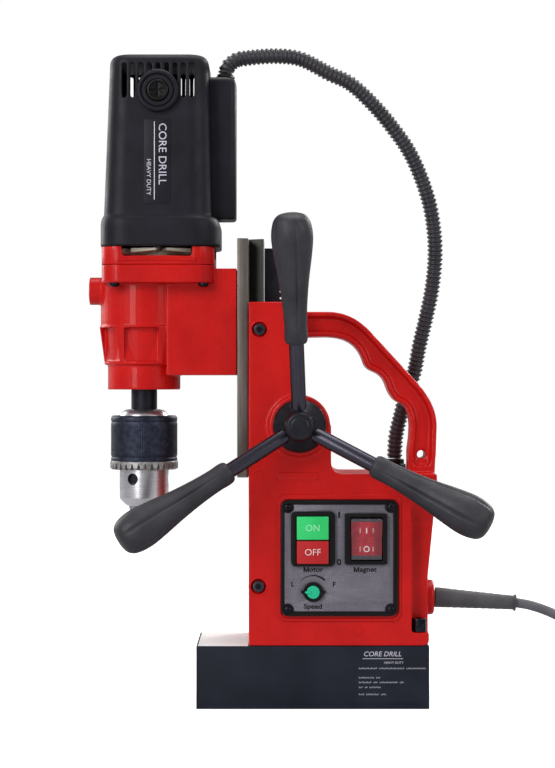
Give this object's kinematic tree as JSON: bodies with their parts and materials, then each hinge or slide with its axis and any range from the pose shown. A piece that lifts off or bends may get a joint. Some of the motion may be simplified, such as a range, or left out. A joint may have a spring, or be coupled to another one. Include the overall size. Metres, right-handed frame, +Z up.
{
  "type": "magnetic drill press",
  "caption": "Portable drill press on an electromagnet base, with a geared motor head on a dovetail slide, a keyed chuck, a spoked hand feed and a carry handle.",
  "frame": {"origin": "middle of the magnet's pole face, which stands on the work", "axes": "+Z up along the spindle, +X to the operator's right from the spindle towards the column, +Y to the back"},
  "size_m": [0.5456, 0.1579, 0.477],
  "materials": {
    "red_casting": "satin",
    "magnet_paint": "satin",
    "coil_resin": "matte",
    "black_plastic": "matte",
    "grip_plastic": "satin",
    "panel_plate": "satin",
    "ground_steel": "satin",
    "machined_steel": "satin",
    "bright_steel": "polished",
    "black_oxide": "satin",
    "bronze": "satin",
    "fan_metal": "satin",
    "board": "matte",
    "green_button": "satin",
    "red_button": "satin",
    "rocker_red": "gloss",
    "knob_green": "satin",
    "cord_rubber": "matte",
    "conduit_plastic": "satin"
  },
  "bodies": {
    "frame": {"magnet_housing": "magnet_paint", "magnet_coil": "coil_resin", "base_bolt": "black_oxide", "column_housing": "red_casting", "rear_cover": "black_plastic", "circuit_board": "board", "gib_strip": "bronze", "gib_screw_upper": "black_oxide", "gib_screw_lower": "black_oxide", "panel_frame": "black_plastic", "control_panel": "panel_plate", "panel_screw_1": "black_oxide", "panel_screw_2": "black_oxide", "panel_screw_3": "black_oxide", "panel_screw_4": "black_oxide", "switch_frame": "black_plastic", "rocker_bezel": "black_plastic", "dial_ring": "black_plastic", "feed_bush": "bronze", "conduit_gland_lower": "black_plastic", "conduit": "conduit_plastic", "cord_gland": "red_casting", "strain_relief": "cord_rubber", "power_cord": "cord_rubber", "cord_coil": "cord_rubber", "plug": "cord_rubber"},
    "head": {"dovetail_slide": "ground_steel", "rack": "black_oxide", "gear_case": "red_casting", "gear_case_cover": "red_casting", "motor_housing": "black_plastic", "terminal_cover": "black_plastic", "stator": "machined_steel", "brush_front": "black_plastic", "brush_rear": "black_plastic", "conduit_gland_upper": "black_plastic", "spindle_bearing": "machined_steel"},
    "rotor": {"armature": "machined_steel", "cooling_fan": "fan_metal"},
    "layshaft": {"layshaft": "machined_steel"},
    "spindle": {"spindle": "machined_steel", "spindle_gear": "machined_steel", "chuck_body": "bright_steel"},
    "chuck_sleeve": {"chuck_sleeve": "black_oxide"},
    "jaw_1": {"jaw_1": "machined_steel"},
    "jaw_2": {"jaw_2": "machined_steel"},
    "jaw_3": {"jaw_3": "machined_steel"},
    "feed": {"feed_pinion_shaft": "machined_steel", "feed_hub": "black_oxide", "spoke_1": "black_oxide", "spoke_2": "black_oxide", "spoke_3": "black_oxide", "grip_1": "grip_plastic", "grip_2": "grip_plastic", "grip_3": "grip_plastic"},
    "on_button": {"on_button": "green_button"},
    "off_button": {"off_button": "red_button"},
    "magnet_rocker": {"magnet_rocker": "rocker_red"},
    "speed_knob": {"speed_knob": "knob_green"}
  },
  "joints": [
    {"name": "head_slide", "type": "slide", "parent": "frame", "child": "head", "axis": [0, 0, 1], "range_m": [-0.112, 0.03], "deforming": ["conduit"]},
    {"name": "feed_turn", "type": "hinge", "parent": "frame", "child": "feed", "pos_m": [-0.0095, 0, 0.2007], "axis": [0, 1, 0], "range_deg": [-540, 150]},
    {"name": "spindle_spin", "type": "hinge", "parent": "head", "child": "spindle", "pos_m": [-0.122, 0, 0.25], "axis": [0, 0, 1], "continuous": true},
    {"name": "layshaft_spin", "type": "hinge", "parent": "head", "child": "layshaft", "pos_m": [-0.092, 0, 0.28], "axis": [0, 0, 1], "continuous": true},
    {"name": "rotor_spin", "type": "hinge", "parent": "head", "child": "rotor", "pos_m": [-0.111, 0, 0.38], "axis": [0, 0, 1], "continuous": true},
    {"name": "chuck_sleeve_turn", "type": "hinge", "parent": "spindle", "child": "chuck_sleeve", "pos_m": [-0.122, 0, 0.19], "axis": [0, 0, 1], "range_deg": [-705, 1050]},
    {"name": "jaw_1_slide", "type": "slide", "parent": "spindle", "child": "jaw_1", "axis": [0.1201, -0.1697, 0.9781], "range_m": [-0.0112, 0.0166]},
    {"name": "jaw_2_slide", "type": "slide", "parent": "spindle", "child": "jaw_2", "axis": [0.0869, 0.1889, 0.9781], "range_m": [-0.0112, 0.0166]},
    {"name": "jaw_3_slide", "type": "slide", "parent": "spindle", "child": "jaw_3", "axis": [-0.207, -0.0192, 0.9781], "range_m": [-0.0112, 0.0166]},
    {"name": "on_button_press", "type": "slide", "parent": "frame", "child": "on_button", "axis": [0, 1, 0], "range_m": [0, 0.003], "stiffness_N_per_m": 300},
    {"name": "off_button_press", "type": "slide", "parent": "frame", "child": "off_button", "axis": [0, 1, 0], "range_m": [0, 0.003], "stiffness_N_per_m": 300},
    {"name": "magnet_rocker_tilt", "type": "hinge", "parent": "frame", "child": "magnet_rocker", "pos_m": [0.038, -0.0405, 0.1207], "axis": [1, 0, 0], "range_deg": [-14, 0]},
    {"name": "speed_knob_turn", "type": "hinge", "parent": "frame", "child": "speed_knob", "pos_m": [0.0002, -0.04, 0.0832], "axis": [0, 1, 0], "range_deg": [-40, 230]}
  ],
  "couplings": [
    {"joint": "feed_turn", "follows": "head_slide", "rad_per_m": 83.333},
    {"joint": "layshaft_spin", "follows": "spindle_spin", "ratio": -2.4},
    {"joint": "rotor_spin", "follows": "spindle_spin", "ratio": 9.6},
    {"joint": "jaw_1_slide", "follows": "chuck_sleeve_turn", "m_per_rad": 0.0009},
    {"joint": "jaw_2_slide", "follows": "chuck_sleeve_turn", "m_per_rad": 0.0009},
    {"joint": "jaw_3_slide", "follows": "chuck_sleeve_turn", "m_per_rad": 0.0009}
  ]
}
